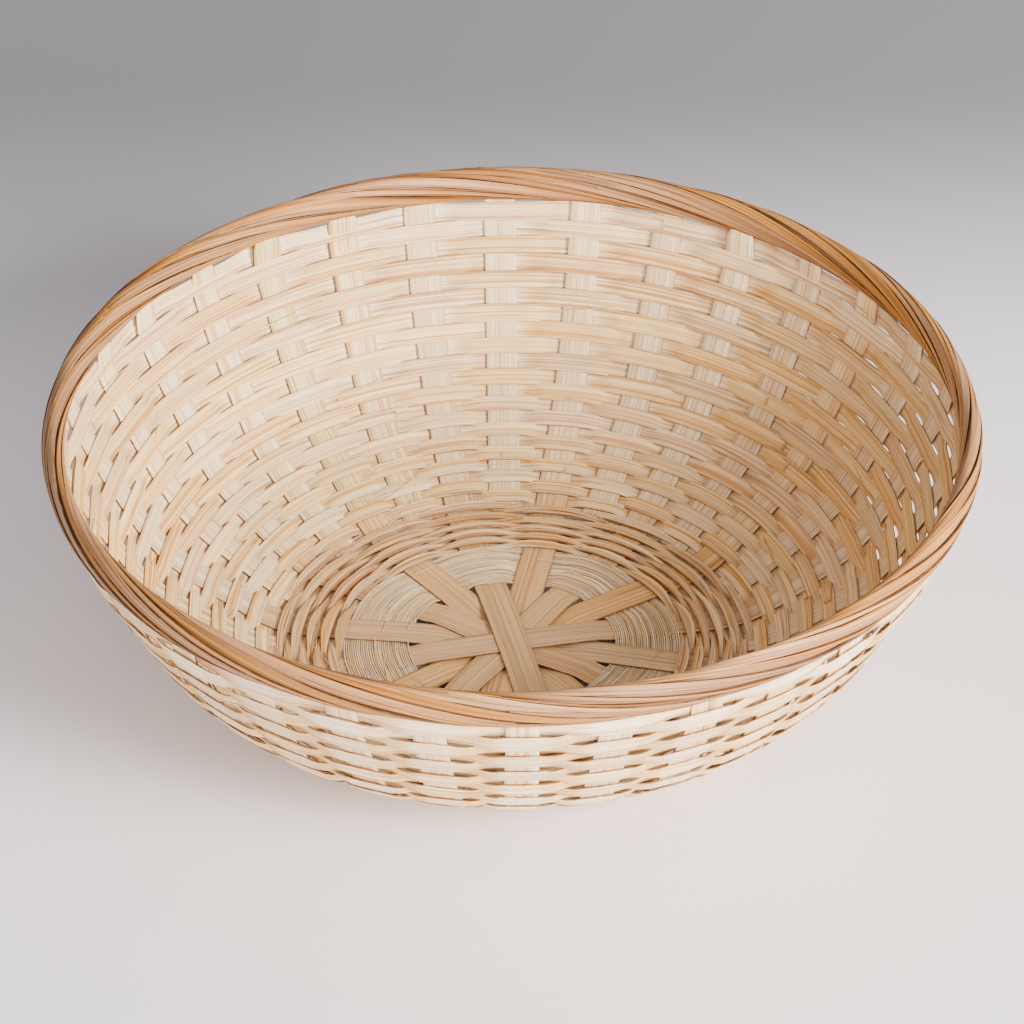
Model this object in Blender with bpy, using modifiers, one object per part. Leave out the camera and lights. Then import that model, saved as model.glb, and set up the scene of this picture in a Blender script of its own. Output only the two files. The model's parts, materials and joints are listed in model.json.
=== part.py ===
"""A shallow round basket woven from split bamboo strips, standing on the floor at z = 0.

Eight flat strips cross at the centre of the base and bend up the wall. Sixteen side stakes
fill the spaces between them. Thin rounds are woven over and under the strips and stakes,
and four twisted strands make the rim.
"""
import math

import bpy

MM = 0.001
COLLECTION_NAME = "woven_bamboo_basket"

# Overall sizes, all in millimetres.
HEIGHT = 77.3
AIR_GAP = 0.25

# Base strips: the arms of the star and the stakes of the wall.
STRIP_WIDTH = 9.0
STRIP_THICKNESS = 0.5
EDGE_CLEARANCE = 0.3
FIRST_UPPER_AZIMUTH = -12.55
STRIPS_PER_LAYER = 4
LAYER_TURN = 180.0 / STRIPS_PER_LAYER
ARM_TURN = 360.0 / (4 * STRIPS_PER_LAYER)
ARM_COUNT = 4 * STRIPS_PER_LAYER
UPPER_LEVELS = (7, 5, 6, 4)
LOWER_LEVELS = (3, 1, 2, 0)

# Where the strips of the star lie flat on each other, and where they have come down.
STAR_FLAT_RADIUS = 11.5
STAR_CROSSING_RADIUS = 23.2
STAR_END_RADIUS = 27.2
CROSSING_GAP = 0.3

# Base weave.
BASE_ROUND_COUNT = 10
BASE_ROUND_THICKNESS = 0.9
BASE_ROUND_SLIT = 0.45
BASE_LIFT = (STRIP_THICKNESS + BASE_ROUND_THICKNESS) / 2 + AIR_GAP
BASE_PLANE = BASE_LIFT + BASE_ROUND_THICKNESS / 2
FINE_WEAVE_RADII = (27.6, 45.6)
FINE_WEAVE_THICKNESS = 0.5
BASE_WEAVE_RADII = (46.0, 66.2)

# Wall: the middle surface of the stakes as radius and height above the base plane.
WALL_PROFILE = (
    (0.0, 0.0),
    (54.0, 0.0),
    (60.0, 0.0),
    (66.0, 1.1),
    (71.5, 3.8),
    (79.6, 8.6),
    (96.9, 20.8),
    (108.5, 38.9),
    (118.4, 57.0),
    (121.4, 66.5),
)
PROFILE_SUBDIVISIONS = 2
BASE_FLAT_RADIUS = 60.0
SIDE_STAKE_START_RADIUS = 66.9
STAKE_COUNT = 2 * ARM_COUNT
STAKE_TURN = 360.0 / STAKE_COUNT
WALL_ROUND_COUNT = 21
WALL_ROUND_THICKNESS = 0.5
WALL_ROUND_SLIT = 0.5
FIRST_WALL_PITCH = 3.3
WALL_LIFT = (STRIP_THICKNESS + WALL_ROUND_THICKNESS) / 2 + AIR_GAP

# Rim: strands that turn round an oval bundle while they run round the basket.
RIM_STRAND_COUNT = 4
RIM_TURNS = 5
RIM_STATIONS = 60
RIM_PATH_RADIUS = 122.1
RIM_HEIGHT = 10.2
RIM_PATH_HALF_DEPTH = 2.4
RIM_PATH_HALF_HEIGHT = 3.8
RIM_STRAND_WIDTH = 4.2
RIM_STRAND_THICKNESS = 1.0
RIM_BOTTOM = HEIGHT - RIM_HEIGHT
RIM_GAP = 0.3
STAKE_TOP = RIM_BOTTOM - RIM_GAP

COLOURS = {
    "base_strip": (0.62, 0.46, 0.27),
    "olive_strip": (0.40, 0.36, 0.18),
    "side_stake": (0.70, 0.56, 0.36),
    "fine_weave": (0.68, 0.55, 0.35),
    "base_round": (0.60, 0.45, 0.28),
    "wall_round": (0.74, 0.60, 0.40),
    "rim_strand": (0.66, 0.43, 0.24),
}
BAMBOO_ROUGHNESS = 0.55
OLIVE_STRIP = "lower_base_strip_4"


def clear_scene():
    """Remove every object that the scene starts with."""
    for obj in list(bpy.data.objects):
        bpy.data.objects.remove(obj, do_unlink=True)


def catmull_rom(before, start, end, after, t):
    """A point between start and end on the smooth curve through four points."""
    values = []
    for a, b, c, d in zip(before, start, end, after):
        linear = (c - a) * t
        square = (2 * a - 5 * b + 4 * c - d) * t * t
        cubic = (3 * b - a - 3 * c + d) * t * t * t
        values.append(b + 0.5 * (linear + square + cubic))
    return tuple(values)


def wall_curve():
    """The stakes' middle surface as a list of (distance along it, radius, height)."""
    knots = [(radius, BASE_PLANE + rise) for radius, rise in WALL_PROFILE]
    first, last = knots[0], knots[-1]
    overshoot = (2 * last[0] - knots[-2][0], 2 * last[1] - knots[-2][1])
    padded = [first] + knots + [overshoot]
    points = []
    for index in range(1, len(padded) - 2):
        for step in range(PROFILE_SUBDIVISIONS):
            t = step / PROFILE_SUBDIVISIONS
            radius, height = catmull_rom(*padded[index - 1:index + 3], t)
            points.append((radius, max(height, BASE_PLANE)))
    points.append(last)
    curve = [(0.0, *points[0])]
    for (r0, z0), (r1, z1) in zip(points, points[1:]):
        curve.append((curve[-1][0] + math.hypot(r1 - r0, z1 - z0), r1, z1))
    return curve


def at_distance(curve, distance):
    """Radius, height and the uphill direction at a distance along the wall curve."""
    for (s0, r0, z0), (s1, r1, z1) in zip(curve, curve[1:]):
        if distance <= s1 or (s1, r1, z1) == curve[-1]:
            share = (distance - s0) / (s1 - s0)
            length = math.hypot(r1 - r0, z1 - z0)
            along = ((r1 - r0) / length, (z1 - z0) / length)
            return r0 + share * (r1 - r0), z0 + share * (z1 - z0), along
    raise ValueError("the wall curve has no points")


def stretch(curve, start, end):
    """Radius and height at both distances and at each bend of the curve between them."""
    inside = [(r, z) for s, r, z in curve if start < s < end]
    return [at_distance(curve, start)[:2], *inside, at_distance(curve, end)[:2]]


def distance_where(curve, column, value):
    """The distance at which the radius (column 1) or height (column 2) reaches a value."""
    for low, high in zip(curve, curve[1:]):
        if low[column] < value <= high[column]:
            share = (value - low[column]) / (high[column] - low[column])
            return low[0] + share * (high[0] - low[0])
    raise ValueError("the wall curve never reaches that value")


def around(radius, height, azimuth):
    """A point at an azimuth, measured in degrees from +Y towards +X."""
    angle = math.radians(azimuth)
    return (radius * math.sin(angle), radius * math.cos(angle), height)


def bamboo(name):
    """The Principled material of one kind of strip."""
    material = bpy.data.materials.get(name)
    if material is None:
        material = bpy.data.materials.new(name)
        material.use_nodes = True
        shader = material.node_tree.nodes["Principled BSDF"]
        shader.inputs["Base Color"].default_value = (*COLOURS[name], 1.0)
        shader.inputs["Roughness"].default_value = BAMBOO_ROUGHNESS
        shader.inputs["Metallic"].default_value = 0.0
    return material


def ribbon(name, material, width, thickness, points, tilts, closed, collection):
    """A flat strip along a path: its width stands upright and is turned by each tilt."""
    curve = bpy.data.curves.new(name, "CURVE")
    curve.dimensions = "3D"
    curve.twist_mode = "Z_UP"
    curve.extrude = width * MM / 2
    spline = curve.splines.new("POLY")
    spline.points.add(len(points) - 1)
    for target, point, tilt in zip(spline.points, points, tilts):
        target.co = (point[0] * MM, point[1] * MM, point[2] * MM, 1.0)
        target.tilt = tilt
    spline.use_cyclic_u = closed
    curve.materials.append(bamboo(material))
    obj = bpy.data.objects.new(name, curve)
    collection.objects.link(obj)
    shell = obj.modifiers.new("Solidify", "SOLIDIFY")
    shell.thickness = thickness * MM
    shell.offset = 0.0
    shell.use_even_offset = True
    return obj


def woven_round(centre, uphill, width, lift, first_azimuth, turn, side):
    """Path and tilt of a closed round that passes over and under strips in turn."""
    radius, height = centre
    points = []
    half_turn = math.degrees(math.atan((STRIP_WIDTH / 2 + EDGE_CLEARANCE) / (radius - width / 2)))
    for index in range(round(360.0 / turn)):
        reach = lift * (side if index % 2 == 0 else -side)
        flat_radius = radius + reach * uphill[1]
        flat_height = height - reach * uphill[0]
        corner_radius = flat_radius / math.cos(math.radians(half_turn))
        middle = first_azimuth + index * turn
        points.append(around(corner_radius, flat_height, middle - half_turn))
        points.append(around(corner_radius, flat_height, middle + half_turn))
    tilt = -math.atan2(uphill[0], uphill[1])
    return points, [tilt] * len(points)


def star_height(level, upper, radius):
    """Height of a base strip's middle surface at a radius inside the star."""
    stacked = STRIP_THICKNESS / 2 + level * (STRIP_THICKNESS + AIR_GAP)
    crossing = BASE_PLANE + (STRIP_THICKNESS + CROSSING_GAP if upper else 0.0)
    if radius <= STAR_FLAT_RADIUS:
        return stacked
    if radius <= STAR_CROSSING_RADIUS:
        share = (radius - STAR_FLAT_RADIUS) / (STAR_CROSSING_RADIUS - STAR_FLAT_RADIUS)
        return stacked + share * (crossing - stacked)
    return crossing if radius < STAR_END_RADIUS else BASE_PLANE


def make_base_strips(curve, collection):
    """Eight strips that cross at the centre and run up the wall on both sides."""
    corner = distance_where(curve, 1, BASE_FLAT_RADIUS)
    wall = stretch(curve, corner, distance_where(curve, 2, STAKE_TOP))
    for layer, levels, start in (
        ("upper", UPPER_LEVELS, FIRST_UPPER_AZIMUTH),
        ("lower", LOWER_LEVELS, FIRST_UPPER_AZIMUTH + ARM_TURN),
    ):
        for index, level in enumerate(levels):
            upper = layer == "upper"
            arm = [(r, star_height(level, upper, r)) for r in (STAR_FLAT_RADIUS, STAR_CROSSING_RADIUS)]
            arm += [(STAR_END_RADIUS, BASE_PLANE)] + wall
            azimuth = start + index * LAYER_TURN
            points = [around(r, z, azimuth + 180.0) for r, z in reversed(arm)]
            points += [around(r, z, azimuth) for r, z in arm]
            name = f"{layer}_base_strip_{index + 1}"
            material = "olive_strip" if name == OLIVE_STRIP else "base_strip"
            tilts = [math.pi / 2] * len(points)
            ribbon(name, material, STRIP_WIDTH, STRIP_THICKNESS, points, tilts, False, collection)


def make_side_stakes(curve, collection):
    """Stakes between the arms of the star, from the edge of the base to the rim."""
    start = distance_where(curve, 1, SIDE_STAKE_START_RADIUS)
    wall = stretch(curve, start, distance_where(curve, 2, STAKE_TOP))
    for index in range(ARM_COUNT):
        azimuth = FIRST_UPPER_AZIMUTH + STAKE_TURN + index * ARM_TURN
        points = [around(radius, height, azimuth) for radius, height in wall]
        tilts = [math.pi / 2] * len(points)
        name = f"side_stake_{index + 1:02d}"
        ribbon(name, "side_stake", STRIP_WIDTH, STRIP_THICKNESS, points, tilts, False, collection)


def make_base_weave(curve, collection):
    """The fine weave next to the star, and the wider rounds outside it."""
    inner, outer = FINE_WEAVE_RADII
    points, tilts = woven_round(
        ((inner + outer) / 2, BASE_PLANE), (1.0, 0.0), outer - inner,
        (STRIP_THICKNESS + FINE_WEAVE_THICKNESS) / 2 + AIR_GAP, FIRST_UPPER_AZIMUTH, ARM_TURN, -1,
    )
    ribbon("fine_base_weave", "fine_weave", outer - inner, FINE_WEAVE_THICKNESS,
           points, tilts, True, collection)
    pitch = (BASE_WEAVE_RADII[1] - BASE_WEAVE_RADII[0]) / BASE_ROUND_COUNT
    width = pitch - BASE_ROUND_SLIT
    for index in range(BASE_ROUND_COUNT):
        distance = distance_where(curve, 1, BASE_WEAVE_RADII[0] + (index + 0.5) * pitch)
        radius, height, uphill = at_distance(curve, distance)
        side = 1 if index % 2 == 0 else -1
        points, tilts = woven_round(
            (radius, height), uphill, width, BASE_LIFT, FIRST_UPPER_AZIMUTH, ARM_TURN, side,
        )
        ribbon(f"base_round_{index + 1:02d}", "base_round", width, BASE_ROUND_THICKNESS,
               points, tilts, True, collection)


def make_wall_rounds(curve, collection):
    """Rounds woven over and under the stakes, narrow at the base and wider at the rim."""
    start = distance_where(curve, 1, SIDE_STAKE_START_RADIUS) - WALL_ROUND_SLIT / 2
    top = distance_where(curve, 2, STAKE_TOP)
    mean_pitch = (top - start) / WALL_ROUND_COUNT
    growth = 2 * (mean_pitch - FIRST_WALL_PITCH) / (WALL_ROUND_COUNT - 1)
    distance = start
    for index in range(WALL_ROUND_COUNT):
        pitch = FIRST_WALL_PITCH + growth * index
        radius, height, uphill = at_distance(curve, distance + pitch / 2)
        distance += pitch
        width = pitch - WALL_ROUND_SLIT
        side = 1 if index % 2 == 0 else -1
        points, tilts = woven_round(
            (radius, height), uphill, width * uphill[0], WALL_LIFT, FIRST_UPPER_AZIMUTH,
            STAKE_TURN, side,
        )
        ribbon(f"wall_round_{index + 1:02d}", "wall_round", width, WALL_ROUND_THICKNESS,
               points, tilts, True, collection)


def make_rim(collection):
    """Flat strands twisted into an oval bundle on top of the stakes."""
    middle_height = HEIGHT - RIM_HEIGHT / 2
    for index in range(RIM_STRAND_COUNT):
        points = []
        tilts = []
        for station in range(RIM_STATIONS):
            azimuth = 360.0 * station / RIM_STATIONS
            turn = math.radians(RIM_TURNS * azimuth + 360.0 * index / RIM_STRAND_COUNT)
            radius = RIM_PATH_RADIUS + RIM_PATH_HALF_DEPTH * math.cos(turn)
            height = middle_height + RIM_PATH_HALF_HEIGHT * math.sin(turn)
            points.append(around(radius, height, azimuth))
            inward = RIM_PATH_HALF_DEPTH * math.sin(turn)
            upward = RIM_PATH_HALF_HEIGHT * math.cos(turn)
            tilts.append(math.atan2(inward, upward))
        ribbon(f"rim_strand_{index + 1}", "rim_strand", RIM_STRAND_WIDTH, RIM_STRAND_THICKNESS,
               points, tilts, True, collection)


def main():
    clear_scene()
    collection = bpy.data.collections.new(COLLECTION_NAME)
    bpy.context.scene.collection.children.link(collection)
    curve = wall_curve()
    make_base_strips(curve, collection)
    make_side_stakes(curve, collection)
    make_base_weave(curve, collection)
    make_wall_rounds(curve, collection)
    make_rim(collection)


main()
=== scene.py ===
"""Visual scene of the woven bamboo basket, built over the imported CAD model.

Lengths are in metres and the Z axis is up. Azimuths run from +Y towards +X. A distance is
measured along the profile of the stakes, from the centre of the base up to the rim.
"""

import json
import math
import random

import bpy
import numpy as np
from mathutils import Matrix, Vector


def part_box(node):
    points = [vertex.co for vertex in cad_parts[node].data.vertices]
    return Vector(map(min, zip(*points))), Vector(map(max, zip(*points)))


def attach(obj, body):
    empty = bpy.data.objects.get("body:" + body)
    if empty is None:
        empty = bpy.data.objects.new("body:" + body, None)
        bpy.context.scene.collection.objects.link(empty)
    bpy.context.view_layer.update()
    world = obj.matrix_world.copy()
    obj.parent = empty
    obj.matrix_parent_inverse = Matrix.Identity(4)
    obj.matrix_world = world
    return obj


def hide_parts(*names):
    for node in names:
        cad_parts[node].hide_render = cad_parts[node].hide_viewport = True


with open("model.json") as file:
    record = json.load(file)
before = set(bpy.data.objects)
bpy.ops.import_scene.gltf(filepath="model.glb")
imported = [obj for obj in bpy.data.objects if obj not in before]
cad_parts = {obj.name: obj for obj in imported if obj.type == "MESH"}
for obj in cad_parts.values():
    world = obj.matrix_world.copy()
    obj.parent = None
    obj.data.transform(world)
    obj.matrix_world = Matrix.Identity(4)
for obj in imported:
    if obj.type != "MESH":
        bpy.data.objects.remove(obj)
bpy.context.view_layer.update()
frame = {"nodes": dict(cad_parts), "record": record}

SEED = 11
MM = 0.001
TAU = 2 * math.pi
UP = np.array([0.0, 0.0, 1.0])

ARM_COUNT = 16
STAKE_COUNT = 2 * ARM_COUNT
BASE_STRIPS_IN_LAYER = ARM_COUNT // 4
BASE_ROUNDS = 10
WALL_ROUNDS = 21
RIM_STRANDS = 4

# In degrees.
FIRST_AZIMUTH = -12.55
ARM_TURN = 360.0 / ARM_COUNT
STAKE_TURN = 360.0 / STAKE_COUNT


# ---------------------------------------------------------------- CAD sizes


def node_points(name):
    mesh = frame["nodes"][name].data
    points = np.empty(len(mesh.vertices) * 3, np.float32)
    mesh.vertices.foreach_get("co", points)
    return points.reshape(-1, 3).astype(float)


def node_radii(name):
    points = node_points(name)
    return np.hypot(points[:, 0], points[:, 1])


def ring_centre(name):
    """Mean radius and middle height of a round."""
    low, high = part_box(name)
    return float(node_radii(name).mean()), (low.z + high.z) / 2


wall_rings = [ring_centre(f"wall_round_{i + 1:02d}") for i in range(WALL_ROUNDS)]
base_rings = [ring_centre(f"base_round_{i + 1:02d}") for i in range(BASE_ROUNDS)]
BASE_END = base_rings[-1][0]

fine_low, fine_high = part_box("fine_base_weave")
BASE_PLANE = (fine_low.z + fine_high.z) / 2
FINE_INNER = float(node_radii("fine_base_weave").min())
FINE_OUTER = fine_high.x

rim_names = [f"rim_strand_{k + 1}" for k in range(RIM_STRANDS)]
rim_boxes = [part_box(name) for name in rim_names]
RIM_TOP = max(high.z for low, high in rim_boxes)
RIM_BOTTOM = min(low.z for low, high in rim_boxes)
RIM_OUTER = max(high.x for low, high in rim_boxes)
RIM_INNER = min(float(node_radii(name).min()) for name in rim_names)
RIM_RADIUS = (RIM_OUTER + RIM_INNER) / 2
RIM_MIDDLE = (RIM_TOP + RIM_BOTTOM) / 2
RIM_HALF_DEPTH = (RIM_OUTER - RIM_INNER) / 2
RIM_HALF_HEIGHT = (RIM_TOP - RIM_BOTTOM) / 2


# ---------------------------------------------------------------- profile

CURVE_STEP = 0.4 * MM
CURVE_BLUR_STEPS = 8.0
# How far the stakes still lean out inside the rim, as a share of the lean below it.
LEAN_IN_RIM = 0.6

DOME_HEIGHT = 1.3 * MM
DOME_START = 20.0 * MM
DOME_WIDTH = 38.0 * MM
BACK_RAISE = 1.25 * MM
RIGHT_RAISE = 0.5 * MM
RAISE_START = 15.0 * MM


def profile_curve():
    """Dense smooth curve of the stakes' middle surface: distance, radius, height."""
    knots = [(0.0, BASE_PLANE), (FINE_INNER, BASE_PLANE)]
    knots += [(r, max(z, BASE_PLANE)) for r, z in base_rings]
    knots += wall_rings
    (r0, z0), (r1, z1) = wall_rings[-2:]
    share = (RIM_TOP - z1) / (z1 - z0)
    knots.append((r1 + (r1 - r0) * share * LEAN_IN_RIM, RIM_TOP))
    knots = np.array(knots)
    steps = np.hypot(*np.diff(knots, axis=0).T)
    along = np.concatenate([[0.0], np.cumsum(steps)])
    dense = np.arange(0.0, along[-1], CURVE_STEP)
    radius = np.interp(dense, along, knots[:, 0])
    height = np.interp(dense, along, knots[:, 1])
    pad = int(3 * CURVE_BLUR_STEPS)
    kernel = np.exp(-0.5 * (np.arange(-pad, pad + 1) / CURVE_BLUR_STEPS) ** 2)
    kernel /= kernel.sum()

    def smooth(values):
        before = 2 * values[0] - values[pad:0:-1]
        after = 2 * values[-1] - values[-2:-pad - 2:-1]
        return np.convolve(np.concatenate([before, values, after]), kernel, "valid")

    radius, height = smooth(radius), smooth(height)
    steps = np.hypot(np.diff(radius), np.diff(height))
    return np.concatenate([[0.0], np.cumsum(steps)]), radius, height


CURVE_S, CURVE_R, CURVE_Z = profile_curve()
CURVE_TR = np.gradient(CURVE_R, CURVE_S)
CURVE_TZ = np.gradient(CURVE_Z, CURVE_S)


def distance_at_radius(radius):
    return float(np.interp(radius, CURVE_R, CURVE_S))


def distance_at_height(height):
    wall = CURVE_S > distance_at_radius(BASE_END)
    return float(np.interp(height, CURVE_Z[wall], CURVE_S[wall]))


def smoothstep(x):
    x = np.clip(x, 0.0, 1.0)
    return x * x * (3.0 - 2.0 * x)


def ramp(x, start, width):
    """Rises smoothly from 0 at start to 1 at start + width."""
    return smoothstep((x - start) / width)


def dome(radius):
    """The base arches up a little towards its centre."""
    return DOME_HEIGHT * (1.0 - ramp(radius, DOME_START, DOME_WIDTH))


def raised(azimuth):
    """The rim isn't level: it stands higher at the back, and a little higher on the right."""
    return BACK_RAISE * (1.0 + np.cos(azimuth)) + RIGHT_RAISE * np.sin(azimuth)


def on_profile(distance, azimuth):
    """Radius, height, uphill (r, z) and outward normal (r, z) of the stakes' middle surface."""
    r = np.interp(distance, CURVE_S, CURVE_R)
    z = np.interp(distance, CURVE_S, CURVE_Z)
    tr = np.interp(distance, CURVE_S, CURVE_TR)
    tz = np.interp(distance, CURVE_S, CURVE_TZ)
    length = np.hypot(tr, tz)
    tr, tz = tr / length, tz / length
    lifted = z + dome(r) + ramp(z, RAISE_START, RIM_BOTTOM - RAISE_START) * raised(azimuth)
    return r, lifted, tr, tz, tz, -tr


def radial(azimuth):
    """Unit vectors that point away from the axis."""
    return np.stack([np.sin(azimuth), np.cos(azimuth), np.zeros_like(azimuth)], axis=-1)


def lift_to_world(azimuth, r, z):
    """World vectors of (r, z) pairs at azimuths."""
    return radial(azimuth) * np.asarray(r)[..., None] + UP * np.asarray(z)[..., None]


# ---------------------------------------------------------------- swept strips

# Outlines of a strip's section in half widths and half thicknesses, clockwise from the top left.
SECTION = np.array((
    (-0.965, 0.93), (-0.5, 1.0), (0.0, 1.02), (0.5, 1.0), (0.965, 0.93),
    (1.0, 0.5), (1.0, -0.5),
    (0.965, -0.93), (0.5, -1.0), (0.0, -1.02), (-0.5, -1.0), (-0.965, -0.93),
    (-1.0, -0.5), (-1.0, 0.5),
))
THREAD_SECTION = np.array((
    (-0.8, 0.8), (0.0, 1.0), (0.8, 0.8), (1.0, 0.0),
    (0.8, -0.8), (0.0, -1.0), (-0.8, -0.8), (-1.0, 0.0),
))
CUT_EDGE_FROM = 0.97
CUT_END_SHADE = 0.6
SHARP_ANGLE = 50.0


class Strips:
    """Collects swept strips and makes them one mesh object.

    Each point gets the attributes that the bamboo material reads: strip, with the position
    along and across the strip and the strip's own random number; edge, which is 1 on a cut
    edge; and tone, which picks between the material's two pairs of colours.
    """

    def __init__(self):
        self.points = []
        self.faces = []
        self.strip = []
        self.edge = []
        self.tone = []
        self.count = 0

    def add(self, path, across, normal, half_width, half_thickness, seed,
            closed=False, section=SECTION, cup=0.0, end_shade=CUT_END_SHADE, tone=0.0):
        """Sweep a section along a path. across and normal are unit vectors at each station.

        half_width, half_thickness, cup and tone are numbers or arrays with one value for each
        station. cup is the section's curvature across its width.
        """
        n, m = len(path), len(section)
        half_width = np.broadcast_to(half_width, n).astype(float)
        half_thickness = np.broadcast_to(half_thickness, n).astype(float)
        cup = np.broadcast_to(cup, n).astype(float)
        u = section[None, :, 0] * half_width[:, None]
        v = section[None, :, 1] * half_thickness[:, None] - cup[:, None] * u * u
        points = path[:, None, :] + across[:, None, :] * u[..., None] + normal[:, None, :] * v[..., None]
        steps = np.linalg.norm(np.diff(path, axis=0), axis=1)
        strip = np.empty((n, m, 3))
        strip[..., 0] = np.concatenate([[0.0], np.cumsum(steps)])[:, None]
        strip[..., 1] = u
        strip[..., 2] = seed
        cut = (np.abs(section[:, 0]) > CUT_EDGE_FROM).astype(float)
        edge = np.repeat(cut[None, :], n, axis=0)
        if not closed:
            edge[0] = end_shade
            edge[-1] = end_shade
        self.points.append(points.reshape(-1, 3))
        self.strip.append(strip.reshape(-1, 3))
        self.edge.append(edge.reshape(-1))
        self.tone.append(np.repeat(np.broadcast_to(tone, n).astype(float), m))
        self.add_faces(self.count + np.arange(n * m).reshape(n, m), closed)
        self.count += n * m

    def add_faces(self, index, closed):
        """Faces between the stations' rows of point numbers, and the caps of an open strip."""
        rows = np.concatenate([index, index[:1]]) if closed else index
        a = rows[:-1]
        b = rows[1:]
        quads = np.stack([a, np.roll(a, -1, axis=1), np.roll(b, -1, axis=1), b], axis=-1)
        self.faces.extend(map(tuple, quads.reshape(-1, 4).tolist()))
        if not closed:
            self.faces.append(tuple(index[0][::-1].tolist()))
            self.faces.append(tuple(index[-1].tolist()))

    def build(self, name, material):
        mesh = bpy.data.meshes.new(name)
        mesh.from_pydata(np.concatenate(self.points).tolist(), [], self.faces)
        strip = mesh.attributes.new("strip", "FLOAT_VECTOR", "POINT")
        strip.data.foreach_set("vector", np.concatenate(self.strip).astype(np.float32).ravel())
        for key, values in (("edge", self.edge), ("tone", self.tone)):
            attribute = mesh.attributes.new(key, "FLOAT", "POINT")
            attribute.data.foreach_set("value", np.concatenate(values).astype(np.float32))
        mesh.materials.append(material)
        mesh.update()
        mesh.polygons.foreach_set("use_smooth", [True] * len(mesh.polygons))
        mesh.set_sharp_from_angle(angle=math.radians(SHARP_ANGLE))
        obj = bpy.data.objects.new(name, mesh)
        bpy.context.scene.collection.objects.link(obj)
        face_outwards(mesh)
        return obj


def face_outwards(mesh):
    """Turn the faces over if the sweep made them face in."""
    mesh.calc_loop_triangles()
    corners = np.empty(len(mesh.loop_triangles) * 3, np.int32)
    mesh.loop_triangles.foreach_get("vertices", corners)
    points = np.empty(len(mesh.vertices) * 3, np.float32)
    mesh.vertices.foreach_get("co", points)
    tri = points.reshape(-1, 3).astype(float)[corners.reshape(-1, 3)]
    volume = np.einsum("ij,ij->i", tri[:, 0], np.cross(tri[:, 1], tri[:, 2])).sum()
    if volume < 0:
        mesh.flip_normals()


def wobble(rng, x, cycles):
    """A smooth random function of x in radians, within about -1 to 1, periodic over a turn."""
    total = np.zeros_like(x, dtype=float)
    for k in cycles:
        total += rng.uniform(0.4, 1.0) * np.sin(k * x + rng.uniform(0.0, TAU))
    return total / (0.75 * len(cycles))


def turned(across, normal, angle):
    """Rotate the section about the path by an angle in radians."""
    c = np.cos(angle)[:, None]
    s = np.sin(angle)[:, None]
    return across * c + normal * s, normal * c - across * s


# ---------------------------------------------------------------- materials

# Noise frequencies per metre along and across the strip, and per unit of its random number.
FINE_LINES = (34.0, 4600.0, 91.0)
FIBRES = (6.0, 1700.0, 57.0)
STREAKS = (8.0, 520.0, 33.0)
CLOUDS = (26.0, 110.0, 71.0)
SPLITS = (16.0, 620.0, 19.0)
EDGE_PATCHES = (220.0, 0.0, 13.0)

# What the colours are multiplied by in each kind of mark.
FIBRE_SHADE = (0.74, 0.56, 0.38)
FINE_LINE_SHADE = (0.64, 0.46, 0.30)
PALE_FIBRE_SHADE = (1.1, 1.12, 1.16)
CLOUD_SHADE = (0.93, 0.86, 0.78)

SATURATION_SPREAD = 0.1
HUE_SPREAD = 0.0035
BUMP_DEPTH = 0.16 * MM
# Dark brown of the cut edges: partly the bamboo's own edge colour, partly painted shade along the strips'
# sides.
CUT_EDGE_AND_SHADE_COLOUR = (0.12, 0.036, 0.011)


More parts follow.
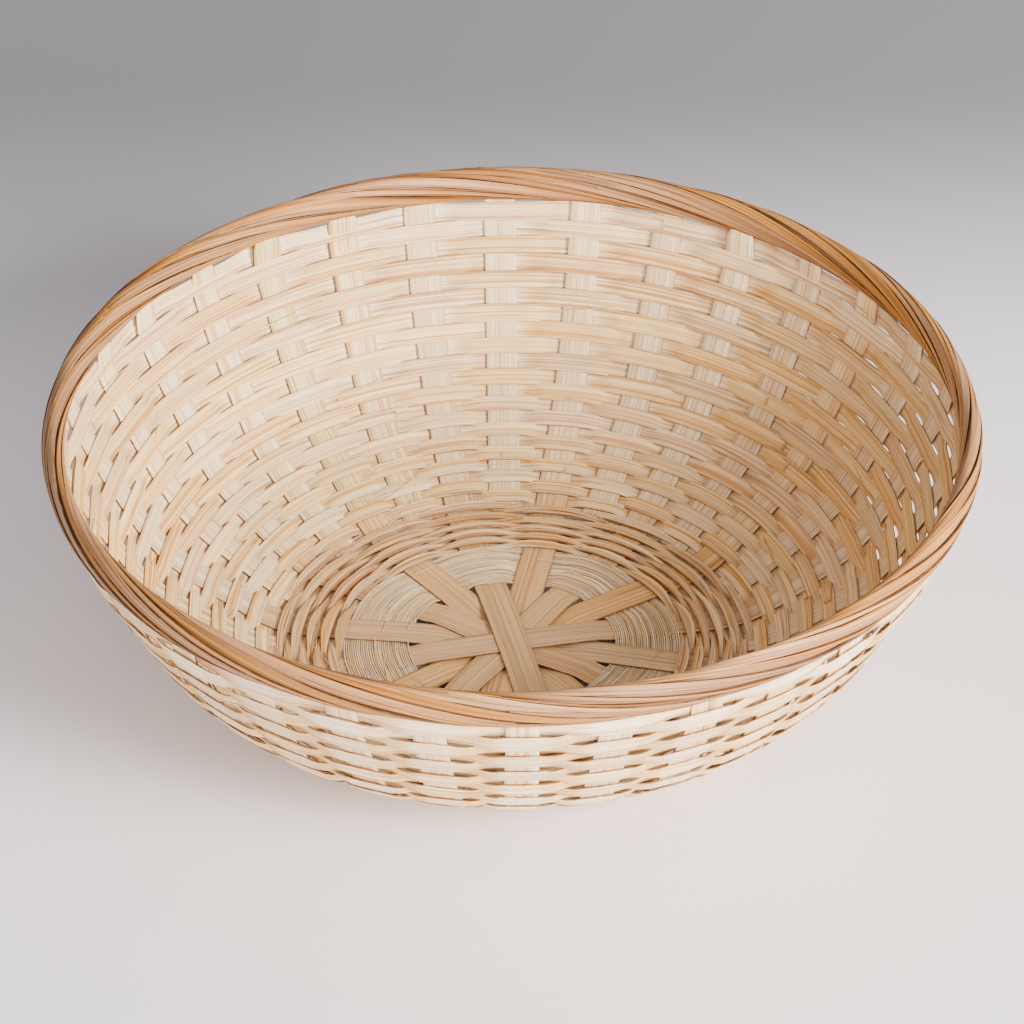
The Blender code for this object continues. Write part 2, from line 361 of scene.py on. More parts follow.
def bamboo(name, light, dark, shade_spread, gloss, lines, wall=None, edge_colour=CUT_EDGE_AND_SHADE_COLOUR):
    """Split bamboo: fibre lines along the strip, a shade for each strip, and dark cut edges, which are
    partly their own colour and partly painted shade.

    light and dark are the colours where the tone attribute is 0, and wall holds the pair for
    where it is 1. shade_spread is how much darker the darkest strip is, gloss lowers the
    roughness, and lines is the strength of the fibre lines.
    """
    material = bpy.data.materials.new(name)
    material.use_nodes = True
    tree = material.node_tree
    tree.nodes.clear()
    link = tree.links.new

    def node(kind, **values):
        made = tree.nodes.new(kind)
        for key, value in values.items():
            setattr(made, key, value)
        return made

    def attribute(key, output):
        return node("ShaderNodeAttribute", attribute_name=key).outputs[output]

    def noise(frequencies, detail, roughness):
        scaled = node("ShaderNodeVectorMath", operation="MULTIPLY")
        link(strip, scaled.inputs[0])
        scaled.inputs[1].default_value = frequencies
        made = node("ShaderNodeTexNoise")
        made.inputs["Scale"].default_value = 1.0
        made.inputs["Detail"].default_value = detail
        made.inputs["Roughness"].default_value = roughness
        link(scaled.outputs["Vector"], made.inputs["Vector"])
        return made.outputs["Fac"]

    def spread(value, low, high, to_low=0.0, to_high=1.0):
        made = node("ShaderNodeMapRange", interpolation_type="SMOOTHSTEP")
        link(value, made.inputs["Value"])
        made.inputs["From Min"].default_value = low
        made.inputs["From Max"].default_value = high
        made.inputs["To Min"].default_value = to_low
        made.inputs["To Max"].default_value = to_high
        return made.outputs["Result"]

    def math_node(operation, a, b):
        made = node("ShaderNodeMath", operation=operation)
        link(a, made.inputs[0])
        link(b, made.inputs[1])
        return made.outputs[0]

    def mix(factor, a, b, blend="MIX"):
        """Mix two colours, which are sockets or plain RGB, by a socket or a number."""
        made = node("ShaderNodeMix", data_type="RGBA", blend_type=blend)
        for value, socket in ((factor, made.inputs["Factor"]), (a, made.inputs[6]), (b, made.inputs[7])):
            if isinstance(value, bpy.types.NodeSocket):
                link(value, socket)
            elif isinstance(value, tuple):
                socket.default_value = (*value, 1.0)
            else:
                socket.default_value = value
        return made.outputs[2]

    strip = attribute("strip", "Vector")
    if wall:
        tone = spread(attribute("tone", "Fac"), 0.0, 1.0)
        light, dark = mix(tone, light, wall[0]), mix(tone, dark, wall[1])

    fine = noise(FINE_LINES, 2.0, 0.6)
    fibre = noise(FIBRES, 2.0, 0.5)
    colour = mix(spread(noise(STREAKS, 1.5, 0.5), 0.38, 0.64), light, dark)
    marks = (
        (spread(fibre, 0.51, 0.61, 0.0, lines), dark, FIBRE_SHADE),
        (spread(fine, 0.53, 0.66, 0.0, lines * 0.8), dark, FINE_LINE_SHADE),
        (spread(fibre, 0.5, 0.34, 0.0, 0.35), light, PALE_FIBRE_SHADE),
        (spread(noise(CLOUDS, 2.0, 0.5), 0.48, 0.74, 0.0, 0.35), dark, CLOUD_SHADE),
    )
    for amount, ground, shade in marks:
        colour = mix(amount, colour, mix(1.0, ground, shade, "MULTIPLY"))
    colour = mix(spread(noise(SPLITS, 1.0, 0.4), 0.7, 0.76, 0.0, 0.55), colour, edge_colour)

    own = node("ShaderNodeTexWhiteNoise", noise_dimensions="1D")
    parts = node("ShaderNodeSeparateXYZ")
    link(strip, parts.inputs[0])
    link(parts.outputs["Z"], own.inputs["W"])
    own_parts = node("ShaderNodeSeparateColor")
    link(own.outputs["Color"], own_parts.inputs[0])
    tint = node("ShaderNodeHueSaturation")
    link(colour, tint.inputs["Color"])
    tints = (
        ("Value", own.outputs["Value"], 1.0 - shade_spread, 1.0 + shade_spread * 0.6),
        ("Saturation", own_parts.outputs[1], 1.0 - SATURATION_SPREAD, 1.0 + SATURATION_SPREAD),
        ("Hue", own_parts.outputs[2], 0.5 - HUE_SPREAD, 0.5 + HUE_SPREAD),
    )
    for key, value, low, high in tints:
        link(spread(value, 0.0, 1.0, low, high), tint.inputs[key])

    # The cut edges darken in patches: partly their own colour, partly painted shade along the sides.
    patchy = spread(noise(EDGE_PATCHES, 2.0, 0.6), 0.3, 0.6, 0.5, 1.0)
    edge = math_node("MULTIPLY", attribute("edge", "Fac"), patchy)

    shader = node("ShaderNodeBsdfPrincipled")
    link(mix(edge, tint.outputs["Color"], edge_colour), shader.inputs["Base Color"])
    link(spread(fine, 0.3, 0.7, 0.46 - gloss, 0.66 - gloss), shader.inputs["Roughness"])
    shader.inputs["Specular IOR Level"].default_value = 0.35
    shader.inputs["Coat Weight"].default_value = 0.06
    shader.inputs["Coat Roughness"].default_value = 0.35
    bump = node("ShaderNodeBump")
    bump.inputs["Strength"].default_value = 0.6
    bump.inputs["Distance"].default_value = BUMP_DEPTH
    link(math_node("ADD", fine, fibre), bump.inputs["Height"])
    link(bump.outputs["Normal"], shader.inputs["Normal"])
    output = node("ShaderNodeOutputMaterial")
    link(shader.outputs[0], output.inputs["Surface"])
    return material


# Light and dark colours, linear RGB.
# The arms are a darker tan than the stakes: partly their own colour, partly painted shade of the base
# inside the basket.
ARM_COLOURS = ((0.77, 0.49, 0.22), (0.63, 0.37, 0.143))
STAKE_COLOURS = ((0.885, 0.685, 0.405), (0.77, 0.515, 0.25))
OLIVE_COLOURS = ((0.70, 0.53, 0.24), (0.58, 0.41, 0.15))
FINE_COLOURS = ((0.96, 0.77, 0.48), (0.83, 0.57, 0.28))
BASE_ROUND_COLOURS = ((0.87, 0.61, 0.31), (0.66, 0.39, 0.155))
WALL_ROUND_COLOURS = ((0.89, 0.635, 0.33), (0.75, 0.468, 0.197))
OUTSIDE_COLOURS = ((0.96, 0.77, 0.50), (0.87, 0.63, 0.36))
RIM_COLOURS = ((0.46, 0.222, 0.074), (0.29, 0.12, 0.035))
# Painted shade: the rim's inner layers, seen between the outer strips, are coloured darker.
SHADED_INNER_RIM_COLOURS = ((0.36, 0.18, 0.065), (0.22, 0.10, 0.035))
BASE_ROUND_EDGE_COLOUR = (0.30, 0.125, 0.04)
RIM_EDGE_COLOUR = (0.07, 0.022, 0.007)

# For each slot: colours, shade spread, gloss, strength of the lines, colours where tone is 1, edges.
LOOKS = {
    "base_strip": (ARM_COLOURS, 0.12, 0.04, 0.7, STAKE_COLOURS, CUT_EDGE_AND_SHADE_COLOUR),
    "olive_strip": (ARM_COLOURS, 0.05, 0.04, 0.65, OLIVE_COLOURS, CUT_EDGE_AND_SHADE_COLOUR),
    "side_stake": (STAKE_COLOURS, 0.1, 0.02, 0.75, None, CUT_EDGE_AND_SHADE_COLOUR),
    "fine_weave": (FINE_COLOURS, 0.16, -0.1, 0.55, None, CUT_EDGE_AND_SHADE_COLOUR),
    "base_round": (BASE_ROUND_COLOURS, 0.2, -0.04, 0.75, None, BASE_ROUND_EDGE_COLOUR),
    "wall_round": (WALL_ROUND_COLOURS, 0.12, 0.0, 0.9, OUTSIDE_COLOURS, CUT_EDGE_AND_SHADE_COLOUR),
    "rim_strand": (RIM_COLOURS, 0.26, -0.06, 0.8, SHADED_INNER_RIM_COLOURS, RIM_EDGE_COLOUR),
}
MATERIALS = {slot: bamboo(f"bamboo_{slot}", *colours, *rest) for slot, (colours, *rest) in LOOKS.items()}


def finish_piece(strips, slot, node):
    """Make the collected strips the visual piece of a CAD node."""
    obj = strips.build(f"visual_{node}", MATERIALS[slot])
    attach(obj, "root")
    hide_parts(node)


# ---------------------------------------------------------------- star, stakes

ARM_HALF_THICKNESS = 0.21 * MM
STAKE_HALF_THICKNESS = 0.36 * MM
THICKER_OVER = 12.0 * MM
STAKE_HALF_WIDTH = 4.35 * MM
STAKE_EXTRA_HALF_WIDTH = 0.3 * MM
STAKE_STATION_STEP = 1.4 * MM
STAKE_END_SHADE = 0.9
# The stakes narrow by this share just below the rim.
TOP_TAPER = 0.25
TAPER_OVER = 4.0 * MM

# The CAD strips are thicker than these, so the stack of them at the centre is squashed.
STAR_SQUASH = 0.6
STAR_DOME_SHARE = 0.4
CROSSING_LIFT = 0.55 * MM
DESCENT_START = 7.0 * MM
DESCENT_WIDTH = 15.5 * MM
SETTLE_START = 22.5 * MM
SETTLE_WIDTH = 4.5 * MM

ARM_SWAY = 0.4 * MM
ARM_SWAY_START = 25.0 * MM
ARM_SWAY_WIDTH = 30.0 * MM
STAKE_SWAY = 0.45 * MM

TUCK_DEPTH = 1.5 * MM
TUCK_ABOVE_RIM_BOTTOM = 2.6 * MM
TUCK_REACH = 4.5 * MM


def stake_stations(first, last):
    """Distances along the profile."""
    return np.concatenate([np.arange(first, last, STAKE_STATION_STEP), [last]])


def stake_width(rng, distance):
    """Half widths of a stake at its stations."""
    x = distance / CURVE_S[-1] * TAU
    half_width = STAKE_HALF_WIDTH + STAKE_EXTRA_HALF_WIDTH * rng.random()
    half_width = half_width * (1.0 + 0.03 * wobble(rng, x, (1, 2, 5)))
    top = ramp(distance, distance_at_height(RIM_BOTTOM - 1.0 * MM), TAPER_OVER)
    return half_width * (1.0 - TOP_TAPER * top)


def stake_thickness(radius):
    """Half thicknesses: the base strips are thinned where they cross."""
    thicker = ramp(radius, BASE_END, THICKER_OVER)
    return ARM_HALF_THICKNESS + (STAKE_HALF_THICKNESS - ARM_HALF_THICKNESS) * thicker


def tucked(radius, height, rng):
    """Some stakes pass in front of the rim's lowest strips before they end inside it."""
    depth = TUCK_DEPTH * rng.choice((0.0, 0.0, 0.75, 1.0))
    return radius - depth * np.exp(-((height - RIM_BOTTOM - TUCK_ABOVE_RIM_BOTTOM) / TUCK_REACH) ** 2)


def star_height(name, radius):
    """Heights of a base strip's middle inside the star, where the strips lie on each other."""
    points = node_points(name)
    near = np.hypot(points[:, 0], points[:, 1]) < FINE_INNER * 0.5
    stacked = DOME_HEIGHT * STAR_DOME_SHARE + float(points[near, 2].mean()) * STAR_SQUASH
    upper = name.startswith("upper")
    plane = BASE_PLANE + dome(radius)
    crossing = plane + (CROSSING_LIFT if upper else 0.0)
    height = stacked + (crossing - stacked) * ramp(radius, DESCENT_START, DESCENT_WIDTH)
    if upper:
        height = height + (plane - height) * ramp(radius, SETTLE_START, SETTLE_WIDTH)
    return height


def add_base_strip(strips, rng, azimuth, top_height, name, seed):
    """One whole base strip, from the rim through the centre to the rim on the other side."""
    side = np.array([math.cos(azimuth), -math.sin(azimuth), 0.0])
    top = distance_at_height(top_height)
    half = stake_stations(0.0, top)
    sway = ARM_SWAY * wobble(rng, half / top * math.pi, (1, 2, 3))
    sway = sway * ramp(half, ARM_SWAY_START, ARM_SWAY_WIDTH)
    halves = []
    for turn, sign in ((math.pi, -1), (0.0, 1)):
        here = np.full_like(half, azimuth + turn)
        r, z, *_ = on_profile(half, here)
        z = np.where(r < FINE_INNER, star_height(name, r), z)
        r = tucked(r, z, rng)
        path = lift_to_world(here, r, z) + side * (sway * sign)[:, None]
        slope_r, slope_z = np.gradient(r, half), np.gradient(z, half)
        length = np.hypot(slope_r, slope_z)
        normal = lift_to_world(here, slope_z / length, -slope_r / length)
        halves.append((path, normal, half * sign, r))
    path, normal, distance, radius = (np.concatenate([a[:0:-1], b]) for a, b in zip(*halves))
    # The tone paints the strip darker tan inside the base, partly painted shade, and paler up the wall.
    strips.add(path, np.broadcast_to(side, path.shape), normal, stake_width(rng, np.abs(distance)),
               stake_thickness(radius), seed, end_shade=STAKE_END_SHADE,
               tone=ramp(radius, BASE_END, THICKER_OVER))


def build_base_strips(rng):
    slots = {part["node"]: part["material_slot"] for part in frame["record"]["subparts"]}
    step = 180.0 / BASE_STRIPS_IN_LAYER
    for layer, start in (("upper", FIRST_AZIMUTH), ("lower", FIRST_AZIMUTH + ARM_TURN)):
        for k in range(BASE_STRIPS_IN_LAYER):
            name = f"{layer}_base_strip_{k + 1}"
            strips = Strips()
            add_base_strip(strips, rng, math.radians(start + k * step),
                           RIM_MIDDLE + rng.uniform(0.0, 2.5) * MM, name, rng.random())
            finish_piece(strips, slots[name], name)


def build_side_stakes(rng):
    start = distance_at_radius(BASE_END - 2.0 * MM)
    for k in range(STAKE_COUNT - ARM_COUNT):
        azimuth = math.radians(FIRST_AZIMUTH + STAKE_TURN + k * ARM_TURN + rng.uniform(-0.4, 0.4))
        top = distance_at_height(RIM_MIDDLE + rng.uniform(0.0, 3.0) * MM)
        distance = stake_stations(start, top)
        here = np.full_like(distance, azimuth)
        r, z, tr, tz, nr, nz = on_profile(distance, here)
        side = np.array([math.cos(azimuth), -math.sin(azimuth), 0.0])
        path = lift_to_world(here, tucked(r, z, rng), z)
        path = path + side * (STAKE_SWAY * wobble(rng, distance / top * math.pi, (1, 2, 3)))[:, None]
        strips = Strips()
        strips.add(path, np.broadcast_to(side, path.shape), lift_to_world(here, nr, nz),
                   stake_width(rng, distance), stake_thickness(r), rng.random(),
                   end_shade=STAKE_END_SHADE)
        finish_piece(strips, "side_stake", f"side_stake_{k + 1:02d}")


def build_stakes():
    rng = random.Random(SEED)
    build_base_strips(rng)
    build_side_stakes(rng)


# ---------------------------------------------------------------- woven rounds

END_TAPER = math.radians(5.0)
END_WIDTH = 0.55
# Where a round's ends overlap, one lies outside the other, by these shares of the half thickness.
HEAD_LIFT = 0.9
TAIL_DROP = 1.1
END_RAMP_DEGREES = 4.0
UNEVEN_LIFT = 0.08 * MM
HAIR_HALF_THICKNESS = 0.08 * MM


def over_under(azimuth, turn, sharp):
    """+1 on the outside at the first strip, -1 at the next, with flat runs over the strips."""
    phase = (azimuth - math.radians(FIRST_AZIMUTH)) / math.radians(turn)
    return np.tanh(sharp * np.cos(math.pi * phase)) / np.tanh(sharp)


def add_round(strips, rng, distance, turn, side, lift, half_width, half_thickness, sharp, stations, seed,
              drift, tilt=0.0, overlap=22.0, section=SECTION, bulge=0.0, pinch=0.0, width_wobble=0.1,
              lean_wobble=0.06, belly=(1.0, 1.0), flare=0.0):
    """A woven round whose ends overlap.

    distance: where it lies on the profile, and drift: how far it strays from there
    turn: degrees from one stake to the next, and side: +1 if it starts outside the first stake
    lift: how far it stands off the stakes, and belly: scales of that inside and outside
    sharp: how suddenly it changes sides between stakes
    tilt, lean_wobble: radians that its section is turned by, steadily and unevenly
    overlap: degrees that its two ends share
    bulge: how far it moves uphill at the stakes, and pinch: how much it narrows between them
    flare: how much wider it spreads on the outer side

    The tone is 1 on the outer side.
    """
    begin = rng.uniform(0.0, TAU)
    span = TAU + math.radians(overlap)
    azimuth = begin + np.linspace(0.0, span, int(stations * span / TAU))
    weave = side * over_under(azimuth, turn, sharp)
    outside = ramp(side * over_under(azimuth, turn, 0.01), 0.4, 0.5)
    where = distance + bulge * weave * weave + drift * wobble(rng, azimuth, (2, 3, 5, 9, 16))
    r, z, tr, tz, nr, nz = on_profile(where, azimuth)
    tail = smoothstep((azimuth - begin - TAU) / math.radians(END_RAMP_DEGREES) + 1.0)
    head = smoothstep(1.0 - (azimuth - begin) / math.radians(overlap + END_RAMP_DEGREES))
    stand_off = lift * weave * np.where(weave < 0.0, belly[0], belly[1])
    reach = stand_off + half_thickness * (HEAD_LIFT * head - TAIL_DROP * tail)
    reach = reach + UNEVEN_LIFT * wobble(rng, azimuth, (7, 13))
    path = lift_to_world(azimuth, r + reach * nr, z + reach * nz)
    across = lift_to_world(azimuth, tr, tz)
    normal = lift_to_world(azimuth, nr, nz)
    lean = tilt + lean_wobble * wobble(rng, azimuth, (3, 5, 8, 17))
    across, normal = turned(across, normal, lean)
    width = half_width * (1.0 + width_wobble * wobble(rng, azimuth, (1, 2, 4, 11)))
    width = width * (1.0 - pinch * (1.0 - weave * weave)) * (1.0 + flare * outside)
    to_end = np.minimum(azimuth - begin, begin + span - azimuth) / END_TAPER
    width = width * (END_WIDTH + (1.0 - END_WIDTH) * smoothstep(to_end))
    strips.add(path, across, normal, width, half_thickness, seed, section=section, tone=outside)


def add_hairs(strips, rng, count, distance, reach, longest):
    """Loose fibres that have split from a round and lie on the inner side."""
    radius = float(np.interp(distance, CURVE_S, CURVE_R))
    steps = np.linspace(0.0, 1.0, 9)
    for _ in range(count):
        begin = rng.uniform(0.0, TAU)
        azimuth = begin + rng.uniform(0.3, 1.0) * longest / radius * steps
        rise = rng.uniform(-1.0, 1.0) * 0.45 * longest * rng.random()
        where = distance + rise * steps ** 1.4 + rng.uniform(-1.0, 1.0) * MM
        r, z, tr, tz, nr, nz = on_profile(where, azimuth)
        away = -(reach + rng.uniform(0.1, 1.3) * MM * steps ** 2)
        path = lift_to_world(azimuth, r + away * nr, z + away * nz)
        width = rng.uniform(0.09, 0.2) * MM * (1.0 - 0.5 * steps)
        strips.add(path, lift_to_world(azimuth, tr, tz), lift_to_world(azimuth, nr, nz), width,
                   HAIR_HALF_THICKNESS, rng.random(), section=THREAD_SECTION, end_shade=0.0)


WALL_LIFT = 0.67 * MM
WALL_HALF_THICKNESS = 0.2 * MM
WALL_SHARPNESS = 2.8
WALL_STATIONS = 416
WALL_HAIRS = 2
# Below this height the profile is too flat for the height to tell the distance.
FLAT_BELOW = 8.0 * MM
# The lowest rounds of the wall are made of two narrow strips each.
SPLIT_ROUNDS = 5
OUTSIDE_FLARE = 0.24


def build_wall_rounds():
    rng = random.Random(SEED + 1)
    distances = [distance_at_radius(r) if z < FLAT_BELOW else distance_at_height(z) for r, z in wall_rings]
    edges = [(a + b) / 2 for a, b in zip(distances, distances[1:])]
    edges = [2 * distances[0] - edges[0]] + edges + [2 * distances[-1] - edges[-1]]
    for i, distance in enumerate(distances):
        pitch = edges[i + 1] - edges[i]
        strips = Strips()
        side = 1 if i % 2 == 0 else -1
        pieces = 2 if i < SPLIT_ROUNDS else 1
        for k in range(pieces):
            shift = pitch * ((k + 0.5) / pieces - 0.5)
            slack = rng.uniform(0.05, 0.45) + 0.4 - 0.4 * i / WALL_ROUNDS
            half_width = (pitch / pieces + slack * MM) / 2
            add_round(strips, rng, distance + shift, STAKE_TURN, side, WALL_LIFT, half_width,
                      WALL_HALF_THICKNESS, WALL_SHARPNESS, WALL_STATIONS, rng.random(), drift=0.28 * MM,
                      lean_wobble=0.06 + 0.12 * (pieces - 1), belly=(1.0, 1.2), flare=OUTSIDE_FLARE)
        add_hairs(strips, rng, WALL_HAIRS, distance, WALL_LIFT + WALL_HALF_THICKNESS, 26.0 * MM)
        finish_piece(strips, "wall_round", f"wall_round_{i + 1:02d}")


BASE_ROUND_STRIP_PITCH = 0.42 * MM
BASE_ROUND_SHARPNESS = 1.25
BASE_ROUND_STATIONS = 224
BASE_ROUND_HAIRS = 4


def build_base_rounds():
    rng = random.Random(SEED + 2)
    for i, (radius, _) in enumerate(base_rings):
        strips = Strips()
        side = 1 if i % 2 == 0 else -1
        distance = distance_at_radius(radius)
        for layer in (-1, 0, 1):
            add_round(strips, rng, distance + layer * BASE_ROUND_STRIP_PITCH, ARM_TURN, side,
                      rng.uniform(0.7, 0.9) * MM, rng.uniform(0.45, 0.7) * MM,
                      rng.uniform(0.2, 0.34) * MM, BASE_ROUND_SHARPNESS, BASE_ROUND_STATIONS,
                      rng.random(), drift=0.3 * MM, tilt=rng.uniform(-0.4, 0.4) - 0.12 * layer,
                      bulge=layer * 0.4 * MM, pinch=0.12, width_wobble=0.26, lean_wobble=0.3,
                      belly=(1.2, 1.0))
        add_hairs(strips, rng, BASE_ROUND_HAIRS, distance, 0.9 * MM, 22.0 * MM)
        finish_piece(strips, "base_round", f"base_round_{i + 1:02d}")


FINE_THREADS = 31
FINE_STATIONS = 192
FINE_HAIRS = 26


def build_fine_weave():
    rng = random.Random(SEED + 3)
    strips = Strips()
    pitch = (FINE_OUTER - FINE_INNER) / FINE_THREADS
    for i in range(FINE_THREADS):
        distance = distance_at_radius(FINE_INNER + (i + 0.5) * pitch)
        # The threads hug the strips near the star, and wave more gently further out.
        sharp = 4.2 - 2.7 * (i / (FINE_THREADS - 1))
        add_round(strips, rng, distance, ARM_TURN, -1, rng.uniform(0.4, 0.6) * MM,
                  pitch * rng.uniform(0.27, 0.43), rng.uniform(0.15, 0.26) * MM, sharp, FINE_STATIONS,
                  rng.random(), drift=0.09 * MM, tilt=rng.uniform(-0.45, 0.45),
                  overlap=rng.uniform(5.0, 20.0), section=THREAD_SECTION, lean_wobble=0.25,
                  width_wobble=0.22)
    for _ in range(FINE_HAIRS):
        distance = distance_at_radius(rng.uniform(FINE_INNER, FINE_OUTER))
        add_hairs(strips, rng, 1, distance, 0.6 * MM, 16.0 * MM)
    finish_piece(strips, "fine_weave", "fine_base_weave")


# ---------------------------------------------------------------- rim

# For each layer of strips: turns round the bundle, number of strips, size as a share of the
# bundle, range of half widths in millimetres, tone, which paints shade on the inner layers.
RIM_LAYERS = (
    (4, 9, 1.0, (0.5, 1.4), 0.0),
    (5, 7, 0.76, (0.8, 1.4), 0.6),
    (4, 4, 0.5, (1.5, 1.7), 1.0),
)
RIM_HALF_THICKNESS = 0.3 * MM
LOOSE_RIM_TURNS = 3
LOOSE_RIM_STRIPS = 24
LOOSE_RIM_HALF_THICKNESS = 0.16 * MM
# The middles of the outermost strips run on an ellipse that is this share of the bundle.
RIM_PATH_DEPTH = 0.86
RIM_PATH_HEIGHT = 0.9
RIM_STATIONS = 420
# How far a flat strip bends across its width to follow the bundle.
RIM_CUP = 0.32
RIM_END_TAPER = math.radians(9.0)
RIM_END_WIDTH = 0.3


def add_rim_strip(strips, rng, turns, phase, scale, half_width, half_thickness, lean, begin, span, seed,
                  closed=False, tone=0.0):
    """A flat strip that turns round the rim bundle while it runs round the basket."""
    count = int(RIM_STATIONS * span / TAU)
    azimuth = begin + np.linspace(0.0, span, count, endpoint=not closed)
    turn = turns * azimuth + phase + 0.2 * wobble(rng, azimuth, (1, 2, 3, 5))
    size = scale * (1.0 + 0.05 * wobble(rng, azimuth, (2, 4, 7)))
    a = RIM_HALF_DEPTH * RIM_PATH_DEPTH * size
    b = RIM_HALF_HEIGHT * RIM_PATH_HEIGHT * size
    r = RIM_RADIUS + a * np.cos(turn)
    z = RIM_MIDDLE + raised(azimuth) + b * np.sin(turn)
    tr, tz = -a * np.sin(turn), b * np.cos(turn)
    length = np.hypot(tr, tz)
    tr, tz = tr / length, tz / length
    curvature = a * b / length ** 3
    across = lift_to_world(azimuth, tr, tz)
    normal = lift_to_world(azimuth, tz, -tr)
    across, normal = turned(across, normal, lean + 0.07 * wobble(rng, azimuth, (3, 5, 9)))
    width = half_width * (1.0 + 0.16 * wobble(rng, azimuth, (1, 3, 6)))
    if not closed:
        to_end = np.minimum(azimuth - begin, begin + span - azimuth) / RIM_END_TAPER
        width = width * (RIM_END_WIDTH + (1.0 - RIM_END_WIDTH) * smoothstep(to_end))
    strips.add(lift_to_world(azimuth, r, z), across, normal, width, half_thickness, seed,
               closed=closed, cup=RIM_CUP * curvature, tone=tone)


def add_rim_layer(groups, rng, layer):
    """A layer of strips side by side round the bundle, each all the way round the basket."""
    turns, number, scale, (narrow, wide), tone = RIM_LAYERS[layer]
    widths = [rng.uniform(narrow, wide) for _ in range(number)]
    along = rng.uniform(0.0, 1.0)
    for k, width in enumerate(widths):
        along += width
        phase = TAU * along / (2 * sum(widths))
        add_rim_strip(groups[(k + layer) % RIM_STRANDS], rng, turns, phase,
                      scale * rng.uniform(0.98, 1.02), width * MM, RIM_HALF_THICKNESS,
                      rng.uniform(0.03, 0.16), rng.uniform(0.0, TAU), TAU, rng.random(), True, tone)
        along += width


def build_rim():
    rng = random.Random(SEED + 4)
    groups = [Strips() for _ in range(RIM_STRANDS)]
    for layer in range(len(RIM_LAYERS)):
        add_rim_layer(groups, rng, layer)
    for k in range(LOOSE_RIM_STRIPS):
        add_rim_strip(groups[k % RIM_STRANDS], rng, LOOSE_RIM_TURNS, rng.uniform(0.0, TAU),
                      rng.uniform(1.04, 1.1), rng.uniform(0.35, 1.1) * MM, LOOSE_RIM_HALF_THICKNESS,
                      rng.uniform(0.0, 0.2), rng.uniform(0.0, TAU),
                      math.radians(rng.uniform(40.0, 110.0)), rng.random())
    for name, strips in zip(rim_names, groups):
        finish_piece(strips, "rim_strand", name)


build_stakes()
build_wall_rounds()
build_base_rounds()
build_fine_weave()
build_rim()

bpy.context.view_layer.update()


# ---------------------------------------------------------------- stage, light, camera

FLOOR_SIDES = 96
FLOOR_RADII = (0.6, 2.0, 20.0)
FLOOR_COLOUR = (0.82, 0.77, 0.785, 1.0)
# Painted shadow: the floor darkens towards the back, between these distances behind the basket's centre.
SHADED_FAR_FLOOR_COLOUR = (0.22, 0.208, 0.216, 1.0)
FLOOR_SHADE_FADE = (0.08, 0.31)

KEY_LIGHT = ((1.2, -1.0, 0.78), (0.75, 0.75), 103.0, (1.0, 0.98, 0.955))
FRONT_LIGHT = ((0.4, -1.75, 0.42), (1.5, 0.6), 52.0, (1.0, 0.985, 0.975))
SKY_COLOUR = (0.96, 0.95, 1.0, 1.0)
SKY_STRENGTH = 0.64

CAMERA_LENS = 198.4
CAMERA_REACH = 1.5
CAMERA_ELEVATION = 34.18
# The camera's downward angle: it aims a little below the middle of the rim.
CAMERA_PITCH = 35.12


def floor_material():
    """Pale and slightly grainy, with painted shadow that darkens it towards the back."""
    material = bpy.data.materials.new("pale_table")
    material.use_nodes = True
    nodes = material.node_tree.nodes
    link = material.node_tree.links.new
    shader = nodes["Principled BSDF"]
    shader.inputs["Roughness"].default_value = 0.7
    where = nodes.new("ShaderNodeTexCoord")
    grain = nodes.new("ShaderNodeTexNoise")
    grain.inputs["Scale"].default_value = 900.0
    grain.inputs["Detail"].default_value = 3.0
    bump = nodes.new("ShaderNodeBump")
    bump.inputs["Strength"].default_value = 0.15
    bump.inputs["Distance"].default_value = 0.3 * MM
    link(where.outputs["Object"], grain.inputs["Vector"])
    link(grain.outputs["Fac"], bump.inputs["Height"])
    link(bump.outputs["Normal"], shader.inputs["Normal"])
    place = nodes.new("ShaderNodeSeparateXYZ")
    link(where.outputs["Object"], place.inputs[0])
    fade = nodes.new("ShaderNodeMapRange")
    fade.interpolation_type = "SMOOTHSTEP"
    fade.inputs["From Min"].default_value, fade.inputs["From Max"].default_value = FLOOR_SHADE_FADE
    link(place.outputs["Y"], fade.inputs["Value"])
    colour = nodes.new("ShaderNodeMix")
    colour.data_type = "RGBA"
    colour.inputs[6].default_value = FLOOR_COLOUR
    colour.inputs[7].default_value = SHADED_FAR_FLOOR_COLOUR
    link(fade.outputs["Result"], colour.inputs["Factor"])
    link(colour.outputs[2], shader.inputs["Base Color"])
    return material


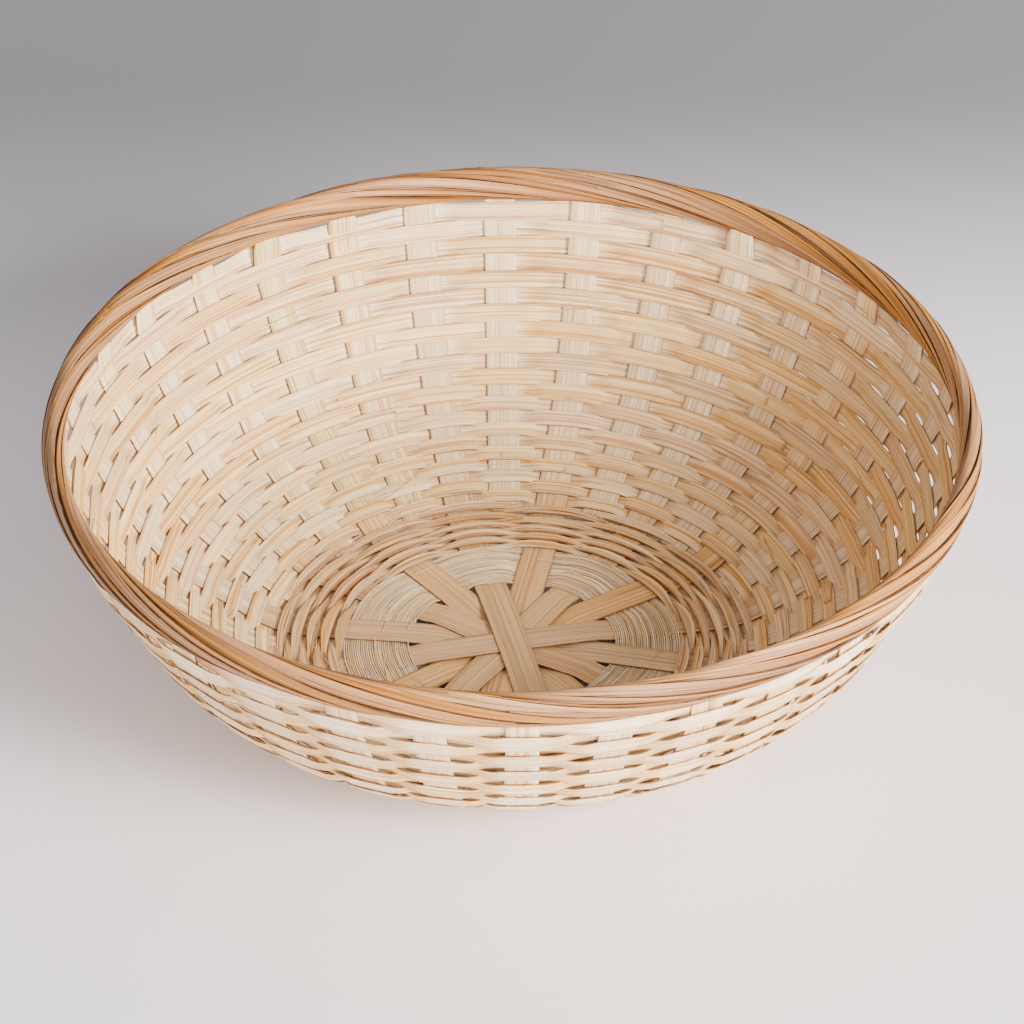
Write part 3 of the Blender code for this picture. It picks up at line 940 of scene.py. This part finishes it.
def build_floor():
    angles = [TAU * k / FLOOR_SIDES for k in range(FLOOR_SIDES)]
    points = [(r * math.cos(a), r * math.sin(a), 0.0) for r in FLOOR_RADII for a in angles]
    faces = [tuple(range(FLOOR_SIDES))]
    for inner in range(0, len(points) - FLOOR_SIDES, FLOOR_SIDES):
        outer = inner + FLOOR_SIDES
        for k in range(FLOOR_SIDES):
            after = (k + 1) % FLOOR_SIDES
            faces.append((inner + k, outer + k, outer + after, inner + after))
    mesh = bpy.data.meshes.new("floor")
    mesh.from_pydata(points, [], faces)
    mesh.update()
    mesh.materials.append(floor_material())
    floor = bpy.data.objects.new("floor", mesh)
    bpy.context.scene.collection.objects.link(floor)


def area_light(name, location, size, power, colour):
    """A rectangular light that faces the middle of the basket."""
    data = bpy.data.lights.new(name, "AREA")
    data.shape = "RECTANGLE"
    data.size, data.size_y = size
    data.energy = power
    data.color = colour
    obj = bpy.data.objects.new(name, data)
    obj.location = location
    obj.rotation_mode = "QUATERNION"
    towards = Vector((0.0, 0.0, RIM_MIDDLE / 2)) - Vector(location)
    obj.rotation_quaternion = towards.to_track_quat("-Z", "Y")
    bpy.context.scene.collection.objects.link(obj)


def build_light():
    area_light("key", *KEY_LIGHT)
    area_light("front", *FRONT_LIGHT)
    world = bpy.data.worlds.new("studio")
    world.use_nodes = True
    background = world.node_tree.nodes["Background"]
    background.inputs["Color"].default_value = SKY_COLOUR
    background.inputs["Strength"].default_value = SKY_STRENGTH
    bpy.context.scene.world = world


def build_camera():
    data = bpy.data.cameras.new("camera")
    data.sensor_width = 36.0
    data.lens = CAMERA_LENS
    data.clip_start, data.clip_end = 0.05, 20.0
    camera = bpy.data.objects.new("camera", data)
    elevation = math.radians(CAMERA_ELEVATION)
    rim_centre = Vector((0.0, 0.0, RIM_TOP - 0.8 * MM))
    away = Vector((0.0, -math.cos(elevation), math.sin(elevation)))
    camera.location = rim_centre + CAMERA_REACH * away
    camera.rotation_mode = "XYZ"
    camera.rotation_euler = (math.radians(90.0 - CAMERA_PITCH), 0.0, 0.0)
    bpy.context.scene.collection.objects.link(camera)
    bpy.context.scene.camera = camera


build_floor()
build_light()
build_camera()
